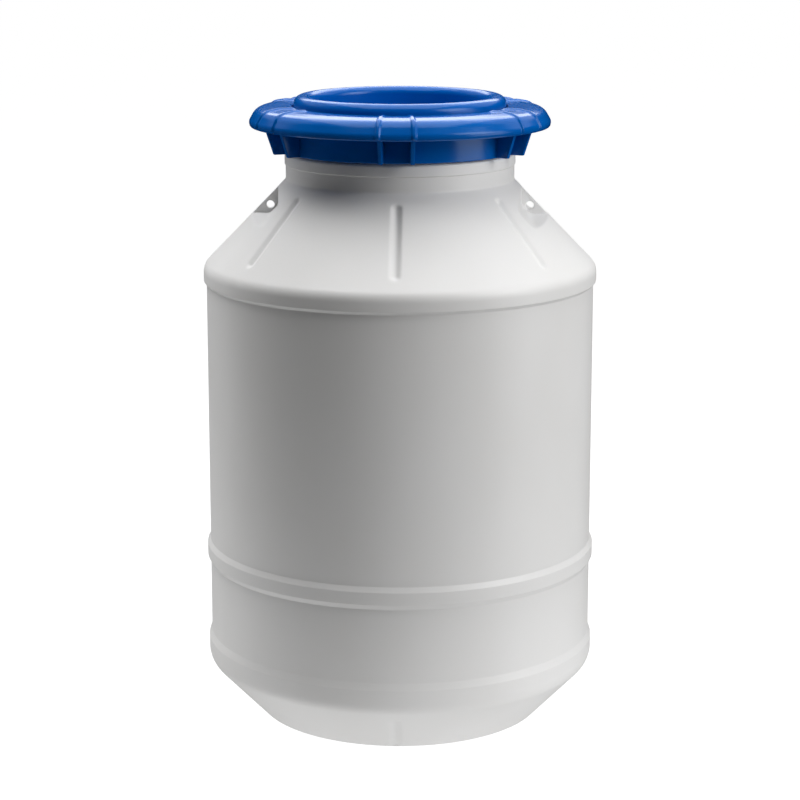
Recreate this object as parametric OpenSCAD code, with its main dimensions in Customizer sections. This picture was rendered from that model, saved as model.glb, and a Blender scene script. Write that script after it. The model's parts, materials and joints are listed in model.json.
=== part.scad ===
// Wide-neck plastic drum with a screw closure.
// The origin is the centre of the base, +Z is up, and the two lugs are on the X axis.

/* [Drum body] */
// Outer radius of the straight wall
body_r = 190; // [180:1:200]
// Outer radius of the foot that the drum stands on
foot_r = 141; // [135:1:146]
// Height of the straight wall's lower end, where the base taper starts
taper_h = 54; // [48:1:60]
// Height of the shoulder's edge, where the cone starts
shoulder_h = 449; // [400:1:480]
// Height that the shoulder cone rises from its edge to the collar
cone_h = 84; // [78:1:92]
// Wall thickness of the blow-moulded body
wall = 4; // [3:0.5:5]
// How far the hoops and the shoulder band stand proud of the wall
hoop_rise = 3; // [2:0.5:4]

/* [Neck] */
// Outer radius of the collar under the closure
collar_r = 112.5; // [112:0.5:113.5]
// Height of the collar
collar_h = 27.5; // [25:0.5:32]
// Height of the threaded neck above the collar
neck_h = 33; // [32:1:36]
// Radius of the mouth
mouth_r = 102; // [100:0.5:103]

/* [Flutes and lugs] */
// Half width of a shoulder flute
flute_half_w = 7; // [5.5:0.1:8]
// Depth of a shoulder flute
flute_depth = 2.5; // [2:0.25:3.5]
// Angle from the front flute to the one beside it
flute_angle = 51; // [46:1:54]
// Thickness of a lug web
lug_t = 6; // [5:0.5:10]
// Diameter of the hole through each lug
lug_hole_d = 8; // [6:0.5:9]

/* [Closure] */
// Outer radius of the grip rim
rim_r = 148; // [144:1:152]
// Outer radius of the skirt
skirt_r = 117; // [116.5:0.5:119]
// Height of the grip rim's crest above the bottom of the skirt
rim_h = 43.7; // [43.4:0.1:46]
// Number of grip blocks, each a pair of fins
grip_blocks = 6; // [4:1:8]
// Thickness of a grip fin
fin_t = 4; // [3:0.5:6]
// Outer radius of the raised ring on the inner disc
stack_ring_r = 103.5; // [102:0.5:105]
// Height of the raised ring above the disc's flange
stack_ring_h = 14; // [12:0.5:18]

/* [Thread] */
// Number of thread starts
thread_starts = 3; // [2:1:4]
// Rise of one start in a full turn
thread_lead = 24; // [20:1:28]
// Angle that each start runs round
thread_sweep = 240; // [180:10:240]

/* [Hidden] */
$fn = 144;
arc_steps = 6;

// Body outline
hoop_r = body_r + hoop_rise;
band_r = hoop_r - 0.2;
lower_hoop_top = taper_h + 20;
mid_hoop_mid = taper_h + 110;
mid_hoop_half = 6;
hoop_chamfer = 5;
band_h = 14;
recess_h = 15;
recess_r = 109;
foot_in_r = recess_r + 5;
taper_fillet = 18;
shoulder_fillet = 24;

// Unit direction of the shoulder cone, from its edge up to the collar
cone_base = [band_r, shoulder_h];
cone_top = [collar_r - 1, shoulder_h + cone_h];
cone_dir = (cone_top - cone_base) / norm(cone_top - cone_base);

// Neck and collar heights
collar_z = cone_top[1];
neck_z = collar_z + collar_h;
neck_top = neck_z + neck_h;
neck_r = 108;
collar_step_z = collar_z + 0.56 * collar_h;
collar_in_r = collar_r - wall - 1;

// Flutes: the shoulder's places and reach, then the size and reach of the base taper's
flute_angles = [0, flute_angle, -flute_angle, 180, 180 - flute_angle, 180 + flute_angle];
flute_start = 18;
flute_end = 93;
base_flute_half_w = 8;
base_flute_depth = 1.5;
base_flute_start = -20;
base_flute_end = 48;

// Lug pockets: wall and floor at the parting plane, and the mould's draft
pocket_x = 119;
pocket_z = shoulder_h + 50;
pocket_chamfer = 8;
pocket_draft = 4;
lug_hole = [pocket_x + 8, pocket_z + 8];

// Closure
gasket_t = 3;
flange_t = 4;
lip_t = 4;
running_gap = 0.5;
skirt_z = neck_z + 0.6;
bore_r = skirt_r - 4;
flange_z = neck_top + gasket_t;
lip_z = flange_z + flange_t;
flange_r = bore_r - running_gap;
opening_r = stack_ring_r + 1.5;
rim_top = skirt_z + rim_h;
rim_wall = 3.2;
ridge_rise = 1.8;
fin_pair_angle = 6.6;
disc_t = 3.5;
stack_ring_w = 16;
dish_floor_z = flange_z - 16;
disc_ribs = 12;
disc_rib_t = 3;
rib_bite = 0.5;

// Thread section: half widths at crest and foot, depth above the wall and bite into it,
// and the ring thread's drop below the neck's
thread_crest_half = 1;
thread_foot_half = 2.3;
thread_depth = 3.5;
thread_bite = 1.2;
thread_drop = 3.1;
thread_z = neck_z + 8.5;
thread_step = 6;
thread_turn = thread_step / 2;

white = "whitesmoke";
blue = "royalblue";
seal_grey = "dimgray";

function unit(v) = v / norm(v);
function cross2(a, b) = a[0] * b[1] - a[1] * b[0];
function spot(p) = [p[0], p[1]];

// Points of one corner of an outline: p is [r, z] and an optional fillet radius
function corner(before, p, after) =
    len(p) < 3 ? [p] : let (
        a = unit(spot(before) - spot(p)),
        b = unit(spot(after) - spot(p)),
        half = acos(a * b) / 2,
        centre = spot(p) + unit(a + b) * p[2] / sin(half),
        first = spot(p) + a * p[2] / tan(half) - centre,
        turn = (180 - 2 * half) * (cross2(a, b) > 0 ? -1 : 1)
    ) [for (i = [0:arc_steps]) let (t = turn * i / arc_steps)
        centre + [first[0] * cos(t) - first[1] * sin(t), first[0] * sin(t) + first[1] * cos(t)]];

// A closed outline with its corners rounded
function rounded(points) = let (n = len(points))
    [for (i = [0:n - 1]) each corner(points[(i + n - 1) % n], points[i], points[(i + 1) % n])];

// Outer outline of the drum body, from the recess under the base up to the mouth
module body_outline() {
    polygon(rounded([
        [0, recess_h],
        [recess_r, recess_h, 4],
        [foot_in_r, 0, 2],
        [foot_r, 0, 3],
        [hoop_r - 0.4, taper_h, taper_fillet],
        [hoop_r - 0.4, lower_hoop_top, 1],
        [body_r, lower_hoop_top + 3, 1.5],
        [body_r, mid_hoop_mid - mid_hoop_half - hoop_chamfer, 1.5],
        [hoop_r, mid_hoop_mid - mid_hoop_half, 1.5],
        [hoop_r, mid_hoop_mid + mid_hoop_half, 1.5],
        [body_r, mid_hoop_mid + mid_hoop_half + hoop_chamfer, 1.5],
        [body_r, shoulder_h - band_h - 3, 1.5],
        [band_r, shoulder_h - band_h, 1],
        [cone_base[0], cone_base[1], shoulder_fillet],
        [cone_top[0], cone_top[1], 2],
        [cone_top[0], collar_step_z - 1, 0.6],
        [collar_r, collar_step_z, 0.6],
        [collar_r, neck_z, 4],
        [neck_r, neck_z, 0.6],
        [neck_r, neck_top, 1.5],
        [0, neck_top]
    ]));
}

// Outline of the space inside the drum body
module cavity_outline() {
    slope = (hoop_r - 0.4 - foot_r) / taper_h;
    in_r = body_r - wall;
    floor_r = foot_r - wall * 0.4;
    cone_in = cone_base - wall * [cone_dir[1], -cone_dir[0]];
    cone_z = function (r) cone_in[1] + (r - cone_in[0]) * cone_dir[1] / cone_dir[0];
    polygon(rounded([
        [0, recess_h + wall],
        [recess_r + 3, recess_h + wall, 5],
        [foot_in_r + wall, wall, 3],
        [floor_r, wall, 3],
        [in_r, wall + (in_r - floor_r) / slope, taper_fillet - wall],
        [in_r, cone_z(in_r), shoulder_fillet - wall],
        [collar_in_r, cone_z(collar_in_r), 5],
        [collar_in_r, neck_z - 8, 3],
        [mouth_r, neck_z - 2, 3],
        [mouth_r, neck_top + 1],
        [0, neck_top + 1]
    ]));
}

// A round-ended tool that cuts a flute in the front surface along the line from base in
// direction dir, and that is grown by extra for the inside of the wall
module slot_tool(base, dir, start, end, half_w, depth, extra) {
    cut_r = (half_w * half_w + depth * depth) / (2 * depth);
    out = [dir[1], -dir[0]];
    low = base + dir * start + out * (cut_r - depth);
    translate([0, -low[0], low[1]]) rotate([atan2(dir[0], dir[1]), 0, 0]) {
        cylinder(r = cut_r + extra, h = end - start);
        sphere(r = cut_r + extra);
        translate([0, 0, end - start]) sphere(r = cut_r + extra);
    }
}

// Tools for all the flutes, grown by extra for the inside of the wall
module flute_tools(extra) {
    for (a = flute_angles) rotate(a)
        slot_tool(cone_top, cone_dir, -flute_end, -flute_start, flute_half_w, flute_depth, extra);
    taper_dir = unit([hoop_r - 0.4 - foot_r, taper_h]);
    for (a = [0, 180]) rotate(a)
        slot_tool([foot_r, 0], taper_dir, base_flute_start, base_flute_end,
            base_flute_half_w, base_flute_depth, extra);
}

// The side of a plane beyond point, which faces up by tilt and leans back with the mould's draft
module beyond(point, tilt, draft) {
    translate([point[0], 0, point[1]]) rotate([0, -tilt, 0]) rotate([0, 0, -draft])
        translate([0, -200, -200]) cube([300, 400, 400]);
}

// Space beside a lug: beyond a wall, a chamfer and a floor, each grown inwards by extra
module pocket_tool(extra) {
    chamfer_at = [pocket_x, pocket_z + pocket_chamfer] - extra * [1, 1] / sqrt(2);
    intersection() {
        beyond([pocket_x - extra, pocket_z], 0, pocket_draft);
        beyond(chamfer_at, 45, pocket_draft / 3);
        beyond([pocket_x, pocket_z - extra], 90, pocket_draft);
    }
}

// Both pockets of the lug on +X, clear of the web between them by gap
module lug_pockets(extra, gap) {
    for (side = [0, 1]) mirror([0, side, 0])
        intersection() {
            pocket_tool(extra);
            translate([0, -200 - gap, 0]) cube([300, 200, neck_top]);
        }
}

// One start of a screw thread: a trapezoid ridge that widens from its crest into the wall
module thread_start(crest_r, foot_r) {
    steps = thread_sweep / thread_step;
    section = [
        [foot_r, -thread_foot_half],
        [crest_r, -thread_crest_half],
        [crest_r, thread_crest_half],
        [foot_r, thread_foot_half]
    ];
    n = len(section);
    points = [for (i = [0:steps], p = section) let (a = i * thread_step)
        [p[0] * cos(a), p[0] * sin(a), p[1] + thread_lead * a / 360]];
    sides = [for (i = [0:steps - 1], j = [0:n - 1]) let (k = (j + 1) % n)
        [i * n + j, i * n + k, (i + 1) * n + k, (i + 1) * n + j]];
    faces = concat(sides, [[for (j = [n - 1:-1:0]) j], [for (j = [0:n - 1]) steps * n + j]]);
    outward = crest_r > foot_r;
    polyhedron(points, outward ? faces : [for (f = faces) [for (j = [n - 1:-1:0]) f[j]]]);
}

module drum_body() {
    color(white) difference() {
        union() {
            difference() {
                rotate_extrude() body_outline();
                flute_tools(0);
                for (side = [0, 180]) rotate(side) lug_pockets(0, lug_t / 2);
            }
            for (i = [0:thread_starts - 1]) rotate(thread_turn + i * 360 / thread_starts)
                translate([0, 0, thread_z]) thread_start(neck_r + thread_depth, neck_r - thread_bite);
        }
        difference() {
            rotate_extrude() cavity_outline();
            flute_tools(wall);
            for (side = [0, 180]) rotate(side) lug_pockets(wall, -20);
        }
        for (side = [-1, 1]) translate([side * lug_hole[0], 0, lug_hole[1]])
            rotate([90, 0, 0]) cylinder(d = lug_hole_d, h = 4 * lug_t, center = true);
    }
}

// Section of the closure ring: lip over the disc, domed grip rim open below, and skirt
module ring_outline() {
    polygon(rounded([
        [bore_r, skirt_z, 1],
        [bore_r, lip_z, 0.6],
        [opening_r, lip_z, 0.6],
        [opening_r, lip_z + lip_t, 1.2],
        [skirt_r + 8, rim_top, 20],
        [rim_r - 8, rim_top - 2.8, 10],
        [rim_r, rim_top - 16.5, 4],
        [rim_r - 2.5, rim_top - 19.3, 1],
        [rim_r - 4.5, rim_top - 17.5, 1],
        [rim_r - 10.5, rim_top - rim_wall - 3.2, 6],
        [skirt_r + 8, rim_top - rim_wall - 0.2, 10],
        [skirt_r, lip_z, 1.5],
        [skirt_r, skirt_z, 1]
    ]));
}

// Outline of a grip fin, which runs up under the rim and over it as a low ridge
module fin_outline() {
    polygon(rounded([
        [skirt_r - 2, skirt_z + 0.5],
        [skirt_r + 12.8, skirt_z + 0.5, 1],
        [skirt_r + 21.5, rim_top - 17.8, 1],
        [rim_r - 3.5, rim_top - 18.3],
        [rim_r + ridge_rise, rim_top - 16.5, 4],
        [rim_r - 7, rim_top - 1.4, 10],
        [skirt_r + 8, rim_top + ridge_rise, 20],
        [opening_r + 2, lip_z + lip_t - 0.5],
        [skirt_r - 2, lip_z + 1]
    ]));
}

module screw_ring() {
    color(blue) union() {
        rotate_extrude() ring_outline();
        for (i = [0:grip_blocks - 1], side = [-1, 1])
            rotate(i * 360 / grip_blocks + side * fin_pair_angle - 90)
                rotate([90, 0, 0]) linear_extrude(fin_t, center = true) fin_outline();
        for (i = [0:thread_starts - 1]) rotate(thread_turn + i * 360 / thread_starts)
            translate([0, 0, thread_z - thread_drop]) thread_start(bore_r - thread_depth, bore_r + thread_bite);
    }
}

module lid_disc() {
    top = lip_z + stack_ring_h;
    in_r = stack_ring_r - stack_ring_w;
    color(blue) union() {
        rotate_extrude() polygon(rounded([
            [0, dish_floor_z],
            [in_r + disc_t, dish_floor_z, 5],
            [in_r + disc_t, top - disc_t, 4],
            [stack_ring_r - disc_t, top - disc_t, 5],
            [stack_ring_r - disc_t, flange_z, 1],
            [flange_r, flange_z, 0.8],
            [flange_r, lip_z, 0.8],
            [stack_ring_r, lip_z, 0.8],
            [stack_ring_r, top, 8.5],
            [in_r, top, 7.5],
            [in_r, dish_floor_z + disc_t, 2],
            [0, dish_floor_z + disc_t]
        ]));
        for (i = [0:disc_ribs - 1]) rotate(i * 360 / disc_ribs)
            translate([in_r + disc_t - rib_bite, -disc_rib_t / 2, flange_z])
                cube([stack_ring_w - 2 * disc_t + 2 * rib_bite, disc_rib_t, top - disc_t / 2 - flange_z]);
    }
}

module lid_gasket() {
    color(seal_grey) rotate_extrude() polygon(rounded([
        [mouth_r + 1.8, neck_top, 0.8],
        [neck_r + 1.2, neck_top, 0.8],
        [neck_r + 1.2, neck_top + gasket_t, 0.8],
        [mouth_r + 1.8, neck_top + gasket_t, 0.8]
    ]));
}

drum_body();
screw_ring();
lid_disc();
lid_gasket();
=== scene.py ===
"""Looks of the wide-neck plastic drum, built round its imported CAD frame.

Every length is in metres, in the row's frame: +Z up, the lugs on X, the front flute on -Y.
"""
import json
import math

import bmesh
import bpy
import numpy as np
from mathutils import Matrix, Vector


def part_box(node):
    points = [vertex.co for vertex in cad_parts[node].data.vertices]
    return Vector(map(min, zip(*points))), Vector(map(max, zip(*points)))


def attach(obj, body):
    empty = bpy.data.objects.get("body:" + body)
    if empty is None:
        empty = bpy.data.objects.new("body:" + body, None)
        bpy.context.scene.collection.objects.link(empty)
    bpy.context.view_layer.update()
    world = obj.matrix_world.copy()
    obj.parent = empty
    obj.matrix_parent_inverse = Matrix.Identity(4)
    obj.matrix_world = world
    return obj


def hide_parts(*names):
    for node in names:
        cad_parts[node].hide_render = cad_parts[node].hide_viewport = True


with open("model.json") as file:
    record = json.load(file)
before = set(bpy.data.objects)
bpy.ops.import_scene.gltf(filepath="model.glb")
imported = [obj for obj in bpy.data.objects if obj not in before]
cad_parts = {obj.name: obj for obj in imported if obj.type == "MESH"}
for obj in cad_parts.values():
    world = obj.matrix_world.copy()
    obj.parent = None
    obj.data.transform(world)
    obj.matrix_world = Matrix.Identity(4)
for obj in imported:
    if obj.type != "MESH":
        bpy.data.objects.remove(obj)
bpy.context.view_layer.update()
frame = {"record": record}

# ---------------------------------------------------------------- sizes
DRUM_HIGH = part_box("drum_body")[1]
RING_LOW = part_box("screw_ring")[0]
DISC_LOW, DISC_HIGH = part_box("lid_disc")
GASKET_LOW, GASKET_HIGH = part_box("lid_gasket")

# Drum body
HOOP_R = DRUM_HIGH.x
HOOP_RISE = 0.003
HOOP_FILLET = 0.0018
HOOP_TOP_HALF = 0.006
HOOP_FOOT_HALF = 0.011
BODY_R = HOOP_R - HOOP_RISE
FOOT_R = 0.141
TAPER_H = 0.054
LOW_HOOP_R = HOOP_R - 0.0004
LOW_HOOP_TOP = TAPER_H + 0.020
LOW_HOOP_CHAMFER = 0.007
HOOP_Z = TAPER_H + 0.110
SHOULDER_H = 0.449
CONE_H = 0.084
COLLAR_R = 0.1125
COLLAR_H = 0.0275
NECK_TOP = DRUM_HIGH.z
NECK_R = 0.108
MOUTH_R = 0.102
WALL = 0.004
RECESS_H = 0.015
RECESS_R = 0.109
RECESS_DRAFT = 0.005
BAND_R = HOOP_R - 0.0002
BAND_Z = SHOULDER_H - 0.014
COLLAR_Z = SHOULDER_H + CONE_H
COLLAR_STEP_Z = COLLAR_Z + 0.56 * COLLAR_H
COLLAR_STEP_DEPTH = 0.001
NECK_Z = COLLAR_Z + COLLAR_H

# Flutes sunk in the shoulder and the base taper
FLUTE_ANGLE = 51
FLUTE_HALF_W = 0.007
FLUTE_DEPTH = 0.0025
FLUTE_START = 0.018
FLUTE_END = 0.093
BASE_FLUTE_HALF_W = 0.008
BASE_FLUTE_DEPTH = 0.0015
BASE_FLUTE_START = 0.004
BASE_FLUTE_END = 0.050
FLUTE_SOFTNESS = 1.15
# Least lean of a surface's normal that counts as facing up or down
LEAN = 0.2

# Parting line of the mould, a fine ridge up both sides, left out where a pocket is sunk
SEAM_HALF_W = 0.0009
SEAM_RISE = 0.00022
SEAM_END = 0.004
TOUCHED = 1e-5

# Lugs and the pockets beside them
LUG_T = 0.006
LUG_BITE = 0.002
POCKET_X = 0.119
POCKET_Z = SHOULDER_H + 0.050
POCKET_CHAMFER = 0.008
POCKET_DRAFT = 4
POCKET_BLEND = 0.0035
POCKET_EDGE = 0.0008
STEEPEST = 0.25
LUG_HOLES = [m for m in frame["record"]["mounts"] if m["name"].startswith("lug_hole")]

# Closure ring
SKIRT_R = 0.117
SKIRT_WALL = 0.004
BORE_R = SKIRT_R - SKIRT_WALL
SKIRT_Z = RING_LOW.z
RIM_H = 0.0437
RIM_TOP = SKIRT_Z + RIM_H
RIM_R = 0.148
RIM_WALL = 0.0032
LIP_T = 0.004
GRIP_BLOCKS = 6
FIN_PAIR_ANGLE = 6.6
FIN_T = 0.004
RIDGE_RISE = 0.0015
RIDGE_SIDE = 0.0013
RIDGE_FADE = 0.004
FIN_FOOT = 0.0128
FIN_HEAD = 0.0215

# Inner disc and gasket
DISC_T = 0.0035
STACK_RING_R = 0.1035
STACK_RING_W = 0.016
FLANGE_T = 0.004
FLANGE_R = DISC_HIGH.x
FLANGE_Z = GASKET_HIGH.z
LIP_Z = FLANGE_Z + FLANGE_T
OPENING_R = STACK_RING_R + 0.0015
DISC_RIBS = 12
DISC_RIB_T = 0.003
RIB_BITE = 0.0005
MARK_R = 0.0555
MARK_RISE = 0.0012
GATE_R = 0.005
GASKET_IN = 0.0018
GASKET_OUT = 0.0012
GASKET_BEAD = 0.0006

# Thread, as in the CAD: starts, rise in a turn, sweep of a start in degrees
THREAD_STARTS = 3
THREAD_LEAD = 0.024
THREAD_SWEEP = 240
THREAD_STEP = 3
THREAD_DEPTH = 0.0035
THREAD_BITE = 0.0012
THREAD_CREST_HALF = 0.001
THREAD_FOOT_HALF = 0.0023
THREAD_ROUND = 0.0005
THREAD_SHOULDER = 0.0002
THREAD_END_ROWS = 3
THREAD_END_SHARE = 0.3
THREAD_DROP = 0.0031
THREAD_Z = NECK_Z + 0.0085
THREAD_TURN = 3

# Meshing: steps round the axis in degrees, with finer (half width, step) windows, and row heights
DRUM_STEP = 1.2
CLOSURE_STEP = 1.5
FLUTE_WINDOW = (3.6, 0.3)
POCKET_WINDOW = (37, 0.6)
SEAM_WINDOW = (0.9, 0.1)
FIN_WINDOW = (1.5, 0.1)
CONE_ROWS = 0.0015
TAPER_ROWS = 0.0018
RIM_ROWS = 0.0015
FILLET_STEP = 5.0
HOLE_SIDES = 48
PLATE_CORNER = 1.2
POLE = 1e-7
CREASE = 40


# ---------------------------------------------------------------- outlines
def unit(v):
    return v / np.linalg.norm(v)


def corner(before, at, after):
    """The arc that rounds one corner (r, z, fillet), or the bare corner if it has no fillet."""
    p = np.array(at[:2], float)
    if len(at) < 3:
        return [p]
    a = unit(np.array(before[:2], float) - p)
    b = unit(np.array(after[:2], float) - p)
    half = math.acos(np.clip(a @ b, -1, 1)) / 2
    centre = p + unit(a + b) * at[2] / math.sin(half)
    first = p + a * at[2] / math.tan(half) - centre
    turn = (math.pi - 2 * half) * (-1 if a[0] * b[1] - a[1] * b[0] > 0 else 1)
    steps = max(3, round(math.degrees(abs(turn)) / FILLET_STEP))
    angles = [turn * i / steps for i in range(steps + 1)]
    return [centre + first @ np.array([[math.cos(t), math.sin(t)], [-math.sin(t), math.cos(t)]])
            for t in angles]


def rounded(corners):
    """A closed outline of (r, z) points, with each corner's fillet as an arc."""
    n = len(corners)
    points = []
    for i, at in enumerate(corners):
        points += corner(corners[i - 1], at, corners[(i + 1) % n])
    return np.array(points)


def refined(points, step, z_range, closed=False):
    """The outline with extra points, so that no stretch inside z_range is longer than step."""
    out = []
    n = len(points)
    for i in range(n if closed else n - 1):
        p, q = points[i], points[(i + 1) % n]
        inside = min(p[1], q[1]) < z_range[1] and max(p[1], q[1]) > z_range[0]
        pieces = max(1, math.ceil(np.linalg.norm(q - p) / step)) if inside else 1
        out += [p + (q - p) * k / pieces for k in range(pieces)]
    if not closed:
        out.append(points[-1])
    return np.array(out)


def columns(coarse, windows):
    """Angles round the axis in degrees: coarse steps, with (centre, half width, step) windows."""
    angles = list(np.arange(0, 360, coarse))
    for centre, half, step in windows:
        angles = [a for a in angles if abs((a - centre + 180) % 360 - 180) > half]
        angles += [a % 360 for a in np.arange(centre - half, centre + half + step / 2, step)]
    kept = []
    for a in sorted(angles):
        if not kept or a - kept[-1] > 0.05:
            kept.append(a)
    return np.radians(kept)


# ---------------------------------------------------------------- meshes
class Shell:
    """Vertices and faces of one piece, gathered from several closed surfaces."""

    def __init__(self):
        self.points = []
        self.faces = []

    def add(self, points, faces):
        base = len(self.points)
        self.points += [tuple(p) for p in points]
        self.faces += [tuple(base + i for i in f) for f in faces]

    def revolve(self, outline, angles, shape=None):
        """Turns an outline round Z. Its two ends on the axis close as poles; otherwise it loops.

        shape(points, normals) may move the points before the faces are made.
        """
        poles = outline[0][0] < POLE and outline[-1][0] < POLE
        ring = outline[1:-1] if poles else outline
        n, m = len(ring), len(angles)
        along = np.roll(ring, -1, 0) - np.roll(ring, 1, 0)
        if poles:
            along[0], along[-1] = ring[1] - outline[0], outline[-1] - ring[-2]
        along /= np.linalg.norm(along, axis=1)[:, None]
        c, s = np.cos(angles), np.sin(angles)
        points = np.stack([ring[:, :1] * c, ring[:, :1] * s, ring[:, 1:] * np.ones(m)], 2)
        normals = np.stack([along[:, 1:] * c, along[:, 1:] * s, -along[:, :1] * np.ones(m)], 2)
        if shape:
            points = shape(points, normals)
        faces = []
        for i in range(n - 1 if poles else n):
            a, b = i * m, (i + 1) % n * m
            faces += [(a + j, a + (j + 1) % m, b + (j + 1) % m, b + j) for j in range(m)]
        flat = list(points.reshape(-1, 3))
        if poles:
            first, last = len(flat), len(flat) + 1
            flat += [(0, 0, outline[0][1]), (0, 0, outline[-1][1])]
            faces += [(first, (j + 1) % m, j) for j in range(m)]
            faces += [((n - 1) * m + j, (n - 1) * m + (j + 1) % m, last) for j in range(m)]
        self.add(flat, faces)

    def plate(self, outline, thickness, turn, bevel, hole=None):
        """A flat plate in a plane through Z, turned round Z, with bevelled edges.

        outline is (r, z) points. hole is (r, z, radius) of a round hole through the plate.
        """
        bm = bmesh.new()
        loop = [bm.verts.new((p[0], 0, p[1])) for p in outline]
        edges = [bm.edges.new((loop[i], loop[(i + 1) % len(loop)])) for i in range(len(loop))]
        if hole:
            r, z, radius = hole
            ring = [bm.verts.new((r + radius * math.cos(t), 0, z + radius * math.sin(t)))
                    for t in np.linspace(0, 2 * math.pi, HOLE_SIDES, endpoint=False)]
            edges += [bm.edges.new((ring[i], ring[(i + 1) % HOLE_SIDES])) for i in range(HOLE_SIDES)]
            bmesh.ops.triangle_fill(bm, edges=edges, use_beauty=True, use_dissolve=False)
        else:
            bm.faces.new(loop)
        for v in bm.verts:
            v.co.y = -thickness / 2
        made = bmesh.ops.extrude_face_region(bm, geom=bm.faces[:])
        for v in (g for g in made["geom"] if isinstance(g, bmesh.types.BMVert)):
            v.co.y = thickness / 2
        bmesh.ops.recalc_face_normals(bm, faces=bm.faces[:])
        sharp = [e for e in bm.edges
                 if len(e.link_faces) == 2 and e.calc_face_angle(0) > PLATE_CORNER]
        bmesh.ops.bevel(bm, geom=sharp, offset=bevel, segments=3, profile=0.5, affect="EDGES")
        c, s = math.cos(turn), math.sin(turn)
        bm.verts.index_update()
        self.add([(v.co.x * c - v.co.y * s, v.co.x * s + v.co.y * c, v.co.z) for v in bm.verts],
                 [[v.index for v in f.verts] for f in bm.faces])
        bm.free()

    def thread(self, crest_r, foot_r, z, turn):
        """One start of the screw thread, a trapezoid ridge with a rounded crest and tapered ends."""
        outward = 1 if crest_r > foot_r else -1
        shoulder_r = crest_r - outward * THREAD_ROUND
        crest_half = THREAD_CREST_HALF - THREAD_ROUND
        shoulder_half = THREAD_CREST_HALF + THREAD_SHOULDER
        section = [(foot_r, -THREAD_FOOT_HALF), (shoulder_r, -shoulder_half), (crest_r, -crest_half),
                   (crest_r, crest_half), (shoulder_r, shoulder_half), (foot_r, THREAD_FOOT_HALF)]
        n = len(section)
        steps = THREAD_SWEEP // THREAD_STEP
        points = []
        for i in range(steps + 1):
            a = math.radians(i * THREAD_STEP + turn)
            rise = z + THREAD_LEAD * i * THREAD_STEP / 360
            full = min(1.0, i / THREAD_END_ROWS, (steps - i) / THREAD_END_ROWS)
            share = THREAD_END_SHARE + (1 - THREAD_END_SHARE) * full
            for r, h in section:
                radius = foot_r + (r - foot_r) * share
                points.append((radius * math.cos(a), radius * math.sin(a), rise + h))
        faces = [(i * n + j, i * n + (j + 1) % n, (i + 1) * n + (j + 1) % n, (i + 1) * n + j)
                 for i in range(steps) for j in range(n)]
        faces += [tuple(range(n - 1, -1, -1)), tuple(steps * n + j for j in range(n))]
        self.add(points, faces if outward > 0 else [f[::-1] for f in faces])

    def build(self, name, material, body, node):
        """Makes the Blender object, riding on its body in place of its CAD node."""
        mesh = bpy.data.meshes.new(name)
        mesh.from_pydata(self.points, [], self.faces)
        mesh.validate()
        mesh.shade_smooth()
        mesh.set_sharp_from_angle(angle=math.radians(CREASE))
        mesh.materials.append(material)
        piece = bpy.data.objects.new(name, mesh)
        bpy.context.scene.collection.objects.link(piece)
        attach(piece, body)
        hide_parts(node)
        return piece


def smooth_min(a, b, blend):
    """The lower of a and b, rounded off over blend where they are close."""
    h = np.clip(0.5 + 0.5 * (b - a) / blend, 0, 1)
    return b * (1 - h) + a * h - blend * h * (1 - h)


# ---------------------------------------------------------------- drum body
CONE_BASE = np.array([BAND_R, SHOULDER_H])
CONE_TOP = np.array([COLLAR_R - COLLAR_STEP_DEPTH, COLLAR_Z])
CONE_DIR = unit(CONE_TOP - CONE_BASE)
TAPER_DIR = unit(np.array([LOW_HOOP_R - FOOT_R, TAPER_H]))
FLUTE_TURNS = [0, FLUTE_ANGLE, -FLUTE_ANGLE, 180, 180 - FLUTE_ANGLE, 180 + FLUTE_ANGLE]
FRONT = -90


def drum_outer():
    """Outer outline of the drum, from the recess under the base to the rim of the mouth."""
    return [
        (0, RECESS_H),
        (RECESS_R, RECESS_H, 0.004),
        (RECESS_R + RECESS_DRAFT, 0, 0.002),
        (FOOT_R, 0, 0.003),
        (LOW_HOOP_R, TAPER_H, 0.018),
        (LOW_HOOP_R, LOW_HOOP_TOP, 0.003),
        (BODY_R, LOW_HOOP_TOP + LOW_HOOP_CHAMFER, 0.003),
        (BODY_R, HOOP_Z - HOOP_FOOT_HALF, HOOP_FILLET),
        (HOOP_R, HOOP_Z - HOOP_TOP_HALF, HOOP_FILLET),
        (HOOP_R, HOOP_Z + HOOP_TOP_HALF, HOOP_FILLET),
        (BODY_R, HOOP_Z + HOOP_FOOT_HALF, HOOP_FILLET),
        (BODY_R, BAND_Z - 0.003, HOOP_FILLET),
        (BAND_R, BAND_Z, 0.0012),
        (BAND_R, SHOULDER_H, 0.015),
        (CONE_TOP[0], COLLAR_Z, 0.003),
        (CONE_TOP[0], COLLAR_STEP_Z - COLLAR_STEP_DEPTH, 0.0008),
        (COLLAR_R, COLLAR_STEP_Z, 0.0008),
        (COLLAR_R, NECK_Z, 0.004),
        (NECK_R, NECK_Z, 0.001),
        (NECK_R, NECK_TOP, 0.0015),
        (MOUTH_R, NECK_TOP, 0.0015),
    ]


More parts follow.
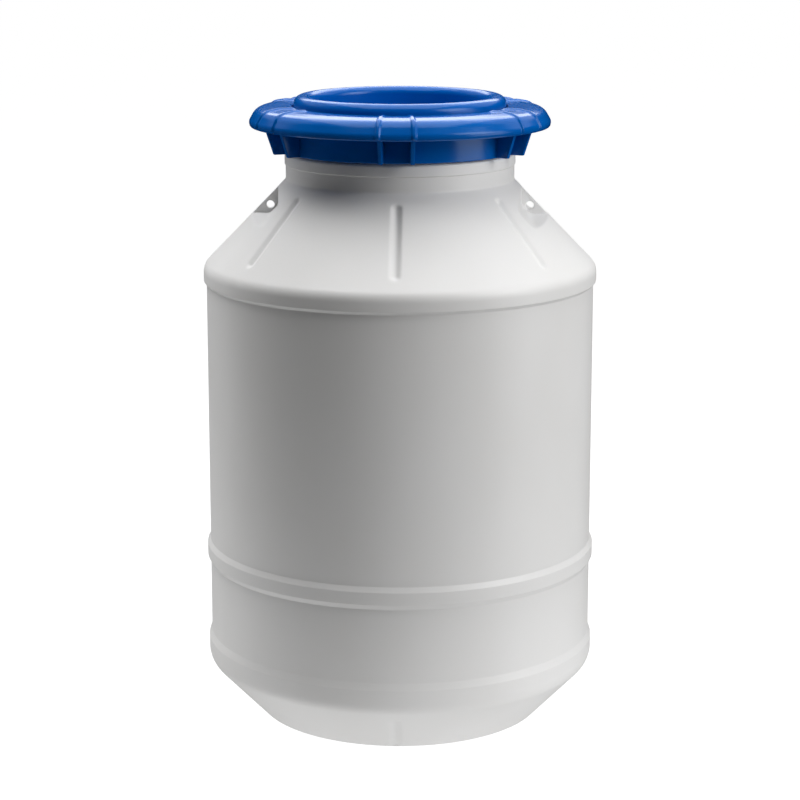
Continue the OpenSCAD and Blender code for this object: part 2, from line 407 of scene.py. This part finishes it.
def drum_inner():
    """Outline of the drum's inside, from the mouth down to the middle of the floor."""
    slope = (LOW_HOOP_R - FOOT_R) / TAPER_H
    in_r = BODY_R - WALL
    floor_r = FOOT_R - WALL * 0.4
    cone_in = CONE_BASE - WALL * np.array([CONE_DIR[1], -CONE_DIR[0]])
    collar_in = COLLAR_R - WALL - COLLAR_STEP_DEPTH

    def cone_z(r):
        return cone_in[1] + (r - cone_in[0]) * CONE_DIR[1] / CONE_DIR[0]

    return [
        (MOUTH_R, NECK_Z - 0.002, 0.003),
        (collar_in, NECK_Z - 0.008, 0.003),
        (collar_in, cone_z(collar_in), 0.005),
        (in_r, cone_z(in_r), 0.020),
        (in_r, WALL + (in_r - floor_r) / slope, 0.014),
        (floor_r, WALL, 0.003),
        (RECESS_R + RECESS_DRAFT + WALL, WALL, 0.003),
        (RECESS_R + 0.003, RECESS_H + WALL, 0.005),
        (0, RECESS_H + WALL),
    ]


def segment_distance(points, start, end):
    """Distance of each point from a straight line between two points."""
    line = end - start
    t = np.clip(((points - start) @ line) / (line @ line), 0, 1)
    return np.linalg.norm(points - start - t[..., None] * line, axis=-1)


def flute_depth(points, turn, low, high, half_w, depth):
    """How deep a soft-edged flute is sunk at each point; low and high are (r, z) on the surface."""
    a = math.radians(FRONT + turn)
    ends = [np.array([p[0] * math.cos(a), p[0] * math.sin(a), p[1]]) for p in (low, high)]
    near = np.clip(segment_distance(points, *ends) / half_w, 0, 1)
    return depth * (0.5 + 0.5 * np.cos(math.pi * near)) ** FLUTE_SOFTNESS


def pocket_depth(points, normals, extra):
    """How far to sink each point, along its normal, to reach the wall of a lug pocket."""
    draft = math.radians(POCKET_DRAFT)
    x, y, z = np.abs(points[..., 0]), np.abs(points[..., 1]), points[..., 2]
    nx, ny, nz = np.abs(normals[..., 0]), np.abs(normals[..., 1]), normals[..., 2]
    diagonal = math.sqrt(0.5)
    # The pocket's upright wall, chamfer and floor: a direction out of the drum, and how far out
    planes = [
        ((1, math.sin(draft), 0), POCKET_X - extra),
        ((diagonal, math.sin(draft / 3), diagonal),
         diagonal * (POCKET_X + POCKET_Z + POCKET_CHAMFER) - extra),
        ((0, math.sin(draft), 1), POCKET_Z - extra),
    ]
    reach = None
    for (px, py, pz), offset in planes:
        above = x * px + y * py + z * pz - offset
        slant = np.maximum(nx * px + ny * py + nz * pz, STEEPEST)
        depth = above / slant
        reach = depth if reach is None else smooth_min(reach, depth, POCKET_BLEND)
    return np.maximum(0, 0.5 * (reach + np.sqrt(reach ** 2 + POCKET_EDGE ** 2) - POCKET_EDGE))


def sink_outside(points, normals):
    """Sinks the flutes and the lug pockets into the outside, and raises the parting line on it."""
    z = points[..., 2]
    r = np.hypot(points[..., 0], points[..., 1])
    depth = np.zeros(z.shape)
    on_cone = (z > SHOULDER_H) & (z < COLLAR_Z + 0.001) & (normals[..., 2] > LEAN)
    low, high = CONE_TOP - CONE_DIR * FLUTE_END, CONE_TOP - CONE_DIR * FLUTE_START
    for turn in FLUTE_TURNS:
        depth += on_cone * flute_depth(points, turn, low, high, FLUTE_HALF_W, FLUTE_DEPTH)
    on_taper = (z < TAPER_H) & (normals[..., 2] < -LEAN) & (r > FOOT_R)
    foot = np.array([FOOT_R, 0.0])
    for turn in (0, 180):
        depth += on_taper * flute_depth(points, turn, foot + TAPER_DIR * BASE_FLUTE_START,
                                        foot + TAPER_DIR * BASE_FLUTE_END,
                                        BASE_FLUTE_HALF_W, BASE_FLUTE_DEPTH)
    depth += np.where(on_cone, pocket_depth(points, normals, 0), 0)
    seamed = (z > SEAM_END) & (z < NECK_Z - SEAM_END) & (r > COLLAR_R - 0.002) & (depth < TOUCHED)
    room = np.clip((HOOP_R - r) / SEAM_RISE, 0, 1)
    seam = np.clip(1 - np.abs(points[..., 1]) / SEAM_HALF_W, 0, 1) * seamed * room
    return points - normals * (depth - SEAM_RISE * seam)[..., None]


def sink_inside(points, normals):
    """Keeps the inside clear of the lug pockets, which the wall follows."""
    z = points[..., 2]
    on_cone = (z > SHOULDER_H - 0.010) & (z < COLLAR_Z + 0.001)
    depth = np.where(on_cone & (normals[..., 2] < -LEAN), pocket_depth(points, -normals, WALL), 0)
    return points + normals * depth[..., None]


def drum_shape(points, normals):
    """Moves the outer and inner surfaces; the outer one is where the normal leaves the axis."""
    outward = np.sum(points[..., :2] * normals[..., :2], axis=-1) > 0
    outer = sink_outside(points, normals)
    inner = sink_inside(points, normals)
    return np.where(outward[..., None], outer, inner)


def make_drum(material):
    outline = rounded(drum_outer() + drum_inner())
    outline = outline[np.argmin(np.hypot(outline[:, 0], outline[:, 1] - RECESS_H)):]
    outline = refined(outline, CONE_ROWS, (SHOULDER_H - 0.002, COLLAR_Z))
    outline = refined(outline, TAPER_ROWS, (0.0, TAPER_H - 0.006))
    windows = [(FRONT + turn, *FLUTE_WINDOW) for turn in FLUTE_TURNS]
    windows += [(side, *POCKET_WINDOW) for side in (0, 180)]
    windows += [(side, *SEAM_WINDOW) for side in (0, 180)]
    shell = Shell()
    shell.revolve(outline, columns(DRUM_STEP, windows), drum_shape)
    for mount in LUG_HOLES:
        x, z = abs(mount["pos_m"][0]), mount["pos_m"][2]
        turn = 0 if mount["pos_m"][0] > 0 else math.pi
        foot = np.array([POCKET_X - LUG_BITE, POCKET_Z - LUG_BITE])
        at_floor = CONE_BASE + CONE_DIR * (foot[1] - CONE_BASE[1]) / CONE_DIR[1]
        at_wall = CONE_BASE + CONE_DIR * (foot[0] - CONE_BASE[0]) / CONE_DIR[0]
        shell.plate(rounded([tuple(foot), tuple(at_floor), tuple(at_wall)]), LUG_T, turn, 0.0007,
                    hole=(x, z, mount["dims"]["r_mm"] / 1000))
    for i in range(THREAD_STARTS):
        shell.thread(NECK_R + THREAD_DEPTH, NECK_R - THREAD_BITE, THREAD_Z,
                     THREAD_TURN + i * 360 / THREAD_STARTS)
    return shell.build("drum_shell", material, "drum", "drum_body")


# ---------------------------------------------------------------- closure
def ring_outline():
    """Section of the closure ring: the lip, the domed rim open below, and the skirt."""
    return [
        (BORE_R, SKIRT_Z, 0.001),
        (BORE_R, LIP_Z, 0.0006),
        (OPENING_R, LIP_Z, 0.0006),
        (OPENING_R, LIP_Z + LIP_T, 0.0012),
        (SKIRT_R + 0.008, RIM_TOP, 0.020),
        (RIM_R - 0.008, RIM_TOP - 0.0026, 0.013),
        (RIM_R, RIM_TOP - 0.0165, 0.006),
        (RIM_R - 0.0025, RIM_TOP - 0.0193, 0.001),
        (RIM_R - 0.0045, RIM_TOP - 0.0175, 0.001),
        (RIM_R - 0.0105, RIM_TOP - RIM_WALL - 0.0032, 0.006),
        (SKIRT_R + 0.008, RIM_TOP - RIM_WALL - 0.0002, 0.010),
        (SKIRT_R, LIP_Z, 0.0015),
        (SKIRT_R, SKIRT_Z, 0.001),
    ]


FIN_TURNS = [FRONT + i * 360 / GRIP_BLOCKS + side * FIN_PAIR_ANGLE
             for i in range(GRIP_BLOCKS) for side in (-1, 1)]


def raise_ridges(points, normals):
    """Raises the low ridge of each fin over the top of the rim, with soft sides."""
    r = np.hypot(points[..., 0], points[..., 1])
    z = points[..., 2]
    ridge_in_r = OPENING_R + 0.002
    ridge_low = RIM_TOP - 0.020
    top = (normals[..., 2] > -0.05) | (r > RIM_R - 0.004)
    top &= (z > ridge_low) & (r > ridge_in_r)
    inner_fade = np.clip((r - ridge_in_r) / RIDGE_FADE, 0, 1)
    low_fade = np.clip((z - ridge_low) / RIDGE_FADE, 0, 1)
    lift = np.zeros(z.shape)
    for turn in FIN_TURNS:
        a = math.radians(turn)
        across = np.abs(points[..., 1] * math.cos(a) - points[..., 0] * math.sin(a))
        ahead = points[..., 0] * math.cos(a) + points[..., 1] * math.sin(a) > 0
        side = np.clip((FIN_T / 2 + RIDGE_SIDE - across) / (2 * RIDGE_SIDE), 0, 1)
        lift = np.maximum(lift, side * side * (3 - 2 * side) * ahead)
    return points + normals * (RIDGE_RISE * lift * top * inner_fade * low_fade)[..., None]


def fin_outline():
    """A grip fin under the rim, wider at the top than at the bottom."""
    return rounded([
        (SKIRT_R - 0.002, SKIRT_Z + 0.0005),
        (SKIRT_R + FIN_FOOT, SKIRT_Z + 0.0005, 0.001),
        (SKIRT_R + FIN_HEAD, RIM_TOP - 0.0178, 0.001),
        (RIM_R - 0.0032, RIM_TOP - 0.0178),
        (RIM_R - 0.0095, RIM_TOP - 0.0050),
        (SKIRT_R + 0.008, RIM_TOP - 0.0017),
        (SKIRT_R - 0.002, LIP_Z + 0.001),
    ])


def make_ring(material):
    outline = refined(rounded(ring_outline()), RIM_ROWS, (RIM_TOP - 0.022, RIM_TOP + 0.01), True)
    windows = [(turn, *FIN_WINDOW) for turn in FIN_TURNS]
    shell = Shell()
    shell.revolve(outline[::-1], columns(CLOSURE_STEP, windows), raise_ridges)
    for turn in FIN_TURNS:
        shell.plate(fin_outline(), FIN_T, math.radians(turn), 0.0006)
    for i in range(THREAD_STARTS):
        shell.thread(BORE_R - THREAD_DEPTH, BORE_R + THREAD_BITE, THREAD_Z - THREAD_DROP,
                     THREAD_TURN + i * 360 / THREAD_STARTS)
    return shell.build("screw_ring_shell", material, "ring", "screw_ring")


def make_disc(material):
    top = DISC_HIGH.z
    floor = DISC_LOW.z
    in_r = STACK_RING_R - STACK_RING_W
    outline = rounded([
        (0, floor),
        (in_r + DISC_T, floor, 0.005),
        (in_r + DISC_T, top - DISC_T, 0.004),
        (STACK_RING_R - DISC_T, top - DISC_T, 0.005),
        (STACK_RING_R - DISC_T, FLANGE_Z, 0.001),
        (FLANGE_R, FLANGE_Z, 0.0008),
        (FLANGE_R, LIP_Z, 0.0008),
        (STACK_RING_R, LIP_Z, 0.0008),
        (STACK_RING_R, top, 0.0085),
        (in_r, top, 0.0075),
        (in_r, floor + DISC_T, 0.002),
        (MARK_R + 0.0025, floor + DISC_T, 0.001),
        (MARK_R + 0.0015, floor + DISC_T + MARK_RISE, 0.001),
        (MARK_R - 0.0015, floor + DISC_T + MARK_RISE, 0.001),
        (MARK_R - 0.0025, floor + DISC_T, 0.001),
        (GATE_R + 0.001, floor + DISC_T, 0.001),
        (GATE_R - 0.001, floor + DISC_T - 0.001, 0.001),
        (0, floor + DISC_T - 0.001),
    ])
    shell = Shell()
    shell.revolve(outline, columns(CLOSURE_STEP, []))
    rib_in, rib_out = in_r + DISC_T - RIB_BITE, STACK_RING_R - DISC_T + RIB_BITE
    rib = [(rib_in, FLANGE_Z), (rib_out, FLANGE_Z), (rib_out, top - DISC_T), (rib_in, top - DISC_T)]
    for i in range(DISC_RIBS):
        shell.plate(rounded(rib), DISC_RIB_T, 2 * math.pi * i / DISC_RIBS, 0.0004)
    return shell.build("lid_disc_shell", material, "lid", "lid_disc")


def make_gasket(material):
    """The seal: a washer with two low sealing beads on its lower face."""
    inner, outer = MOUTH_R + GASKET_IN, NECK_R + GASKET_OUT
    low, high = GASKET_LOW.z, GASKET_HIGH.z
    bead = (outer - inner) / 4
    between = low + GASKET_BEAD
    outline = rounded([
        (inner, low, 0.0005),
        (inner + bead, low, 0.0003),
        (inner + 1.5 * bead, between, 0.0003),
        (outer - 1.5 * bead, between, 0.0003),
        (outer - bead, low, 0.0003),
        (outer, low, 0.0005),
        (outer, high, 0.0006),
        (inner, high, 0.0006),
    ])
    shell = Shell()
    shell.revolve(outline, columns(CLOSURE_STEP, []))
    return shell.build("gasket_ring", material, "lid", "lid_gasket")


# ---------------------------------------------------------------- materials
NOISE_LOW = 0.3
NOISE_HIGH = 0.7


def new_material(name):
    """A new material, its node tree and its Principled shader."""
    material = bpy.data.materials.new(name)
    material.use_nodes = True
    nodes = material.node_tree.nodes
    return material, material.node_tree, nodes["Principled BSDF"]


def add_noise(tree, scale, detail=3.0, stretch=(1, 1, 1)):
    """A noise texture in object space; returns its factor output."""
    place = tree.nodes.new("ShaderNodeTexCoord")
    mapping = tree.nodes.new("ShaderNodeMapping")
    mapping.inputs["Scale"].default_value = stretch
    noise = tree.nodes.new("ShaderNodeTexNoise")
    noise.inputs["Scale"].default_value = scale
    noise.inputs["Detail"].default_value = detail
    tree.links.new(place.outputs["Object"], mapping.inputs["Vector"])
    tree.links.new(mapping.outputs["Vector"], noise.inputs["Vector"])
    return noise.outputs["Fac"]


def remap(tree, factor, low, high):
    """The middle of a noise's reach, where nearly all of it lies, spread over low to high."""
    node = tree.nodes.new("ShaderNodeMapRange")
    node.inputs["From Min"].default_value = NOISE_LOW
    node.inputs["From Max"].default_value = NOISE_HIGH
    node.inputs["To Min"].default_value = low
    node.inputs["To Max"].default_value = high
    tree.links.new(factor, node.inputs["Value"])
    return node.outputs["Result"]


def mix_colour(tree, factor, first, second):
    node = tree.nodes.new("ShaderNodeMix")
    node.data_type = "RGBA"
    node.inputs["A"].default_value = (*first, 1)
    node.inputs["B"].default_value = (*second, 1)
    tree.links.new(factor, node.inputs["Factor"])
    return node.outputs["Result"]


def add_bump(tree, shader, layers):
    """Stacks bump layers of (height factor, distance in metres) on the shader's normal."""
    normal = None
    for height, distance in layers:
        bump = tree.nodes.new("ShaderNodeBump")
        bump.inputs["Strength"].default_value = 1.0
        bump.inputs["Distance"].default_value = distance
        tree.links.new(height, bump.inputs["Height"])
        if normal:
            tree.links.new(normal, bump.inputs["Normal"])
        normal = bump.outputs["Normal"]
    tree.links.new(normal, shader.inputs["Normal"])


def drum_plastic():
    """Natural white polyethylene, blow-moulded: satin, a little uneven, slightly translucent."""
    material, tree, shader = new_material("drum_plastic")
    broad = add_noise(tree, 9, 2, (1, 1, 0.6))
    fine = add_noise(tree, 420, 4)
    grain = add_noise(tree, 1500, 2)
    colour = mix_colour(tree, remap(tree, broad, 0, 1), (0.80, 0.795, 0.785), (0.835, 0.832, 0.826))
    tree.links.new(colour, shader.inputs["Base Color"])
    tree.links.new(remap(tree, fine, 0.40, 0.50), shader.inputs["Roughness"])
    shader.inputs["IOR"].default_value = 1.50
    shader.inputs["Subsurface Weight"].default_value = 0.12
    shader.inputs["Subsurface Radius"].default_value = (0.9, 0.85, 0.8)
    shader.inputs["Subsurface Scale"].default_value = 0.004
    add_bump(tree, shader, [(broad, 0.0006), (fine, 0.00004), (grain, 0.00001)])
    return material


def closure_plastic():
    """Blue polypropylene, injection-moulded: semi-gloss, with a fine moulded grain."""
    material, tree, shader = new_material("closure_plastic")
    flow = add_noise(tree, 22, 3, (1, 1, 2))
    fine = add_noise(tree, 700, 3)
    colour = mix_colour(tree, remap(tree, flow, 0, 1), (0.000, 0.092, 0.390), (0.000, 0.103, 0.420))
    tree.links.new(colour, shader.inputs["Base Color"])
    tree.links.new(remap(tree, fine, 0.18, 0.21), shader.inputs["Roughness"])
    shader.inputs["IOR"].default_value = 1.49
    shader.inputs["Specular IOR Level"].default_value = 0.3
    shader.inputs["Specular Tint"].default_value = (0.72, 0.86, 1.0, 1)
    add_bump(tree, shader, [(flow, 0.00004), (fine, 0.000004)])
    return material


def gasket_rubber():
    """Dark seal rubber with a dull skin."""
    material, tree, shader = new_material("gasket_rubber")
    fine = add_noise(tree, 900, 4)
    colour = mix_colour(tree, remap(tree, fine, 0, 1), (0.012, 0.012, 0.013), (0.022, 0.022, 0.022))
    tree.links.new(colour, shader.inputs["Base Color"])
    tree.links.new(remap(tree, fine, 0.55, 0.75), shader.inputs["Roughness"])
    add_bump(tree, shader, [(fine, 0.00004)])
    return material


# ---------------------------------------------------------------- stage
CAMERA_FAR = 2.28
CAMERA_HEIGHT = 0.8261
CAMERA_TURN = 1.5
CAMERA_PITCH = 11.567
CAMERA_LENS = 105.516
CAMERA_SHIFT = -0.06
FLOOR_SIZE = 60
FLOOR_Z = -0.0005


def make_camera():
    data = bpy.data.cameras.new("camera")
    data.sensor_width = 36
    data.lens = CAMERA_LENS
    data.shift_y = CAMERA_SHIFT
    data.clip_end = FLOOR_SIZE
    camera = bpy.data.objects.new("camera", data)
    turn = math.radians(CAMERA_TURN)
    camera.location = (CAMERA_FAR * math.sin(turn), -CAMERA_FAR * math.cos(turn), CAMERA_HEIGHT)
    camera.rotation_euler = (math.radians(90 - CAMERA_PITCH), 0, turn)
    bpy.context.scene.collection.objects.link(camera)
    bpy.context.scene.camera = camera


def area_light(name, centre, target, size, power):
    """A soft box of size (wide, high) at centre, facing target, unseen by the camera."""
    data = bpy.data.lights.new(name, "AREA")
    data.shape = "RECTANGLE"
    data.size, data.size_y = size
    data.energy = power
    light = bpy.data.objects.new(name, data)
    light.location = centre
    light.rotation_euler = (Vector(target) - Vector(centre)).to_track_quat("-Z", "Y").to_euler()
    light.visible_camera = False
    light.visible_glossy = not name.startswith(MATT_LIGHTS)
    bpy.context.scene.collection.objects.link(light)
    return light


# Lights that no gloss picks up, by how their names start
MATT_LIGHTS = ("floor", "rim", "side", "top")
MIDDLE = (0, 0, 0.33)
# Soft boxes: name, centre, what it faces, width and height, power in watts
LIGHTS = [
    ("key_right", (1.9, -0.7, 0.75), MIDDLE, (1.1, 1.9), 17.0),
    ("key_high", (1.6, -0.9, 1.5), (0, 0, 0.4), (1.0, 1.0), 13.6),
    ("rim_left", (-1.5, 1.0, 0.7), MIDDLE, (0.8, 1.8), 6.7),
    ("side_left", (-2.0, 0.1, 0.7), MIDDLE, (0.8, 1.8), 1.4),
    ("overhead", (0, 0, 2.1), (0, 0, 0.5), (1.8, 1.8), 31.0),
    ("top_left", (-1.0, 0.5, 1.9), (0, 0, 0.5), (0.9, 0.9), 15.6),
    ("top_right", (1.0, 0.5, 1.9), (0, 0, 0.5), (0.9, 0.9), 2.7),
    ("side_low", (-1.4, 0.5, 0.12), (0, 0, 0.15), (0.9, 0.3), 1.4),
    ("floor_bounce", (0, 0, -0.020), (0, 0, 1), (2.4, 2.4), 6.6),
    ("floor_bounce_left", (-0.6, 0, -0.016), (-0.6, 0, 1), (0.5, 0.9), 0.8),
    ("floor_bounce_near", (0, 0, -0.012), (0, 0, 1), (0.8, 0.8), 1.3),
]

# Wide soft boxes behind the closure, which only its gloss picks up: angle from the back to power
SHEEN_POWERS = {-50: 4.0, 0: 26.0, 50: 8.0}
SHEEN_FAR = 1.45
SHEEN_HEIGHT = 1.75
SHEEN_SIZE = (1.8, 1.2)


def make_lights(closure):
    """The studio lights, and the sheen boxes linked to the closure's pieces alone."""
    for light in LIGHTS:
        area_light(*light)
    group = bpy.data.collections.new("closure")
    for piece in closure:
        group.objects.link(piece)
    for turn, power in SHEEN_POWERS.items():
        a = math.radians(turn)
        centre = (SHEEN_FAR * math.sin(a), SHEEN_FAR * math.cos(a), SHEEN_HEIGHT)
        light = area_light(f"sheen_{turn}", centre, (0, 0, SKIRT_Z), SHEEN_SIZE, power)
        light.visible_diffuse = False
        light.light_linking.receiver_collection = group


def make_stage():
    """A pale floor that reads as white paper, and a white surround that only the camera sees."""
    bpy.ops.mesh.primitive_plane_add(size=FLOOR_SIZE, location=(0, 0, FLOOR_Z))
    floor = bpy.context.object
    floor.name = "floor"
    material, _, shader = new_material("floor_paper")
    shader.inputs["Base Color"].default_value = (0.20, 0.20, 0.20, 1)
    shader.inputs["Roughness"].default_value = 0.9
    shader.inputs["Specular IOR Level"].default_value = 0.0
    shader.inputs["Emission Color"].default_value = (1, 1, 1, 1)
    shader.inputs["Emission Strength"].default_value = 1.0
    material.cycles.emission_sampling = "NONE"
    floor.data.materials.append(material)
    floor.visible_diffuse = False
    floor.visible_glossy = False
    floor.visible_shadow = False
    world = bpy.data.worlds.new("surround")
    world.use_nodes = True
    world.node_tree.nodes["Background"].inputs["Color"].default_value = (1, 1, 1, 1)
    world.node_tree.nodes["Background"].inputs["Strength"].default_value = 1.0
    world.cycles_visibility.diffuse = False
    world.cycles_visibility.glossy = False
    world.cycles_visibility.transmission = False
    bpy.context.scene.world = world


def main():
    make_camera()
    make_stage()
    bpy.context.scene.view_settings.view_transform = "Standard"
    blue = closure_plastic()
    make_drum(drum_plastic())
    make_lights([make_ring(blue), make_disc(blue)])
    make_gasket(gasket_rubber())


main()
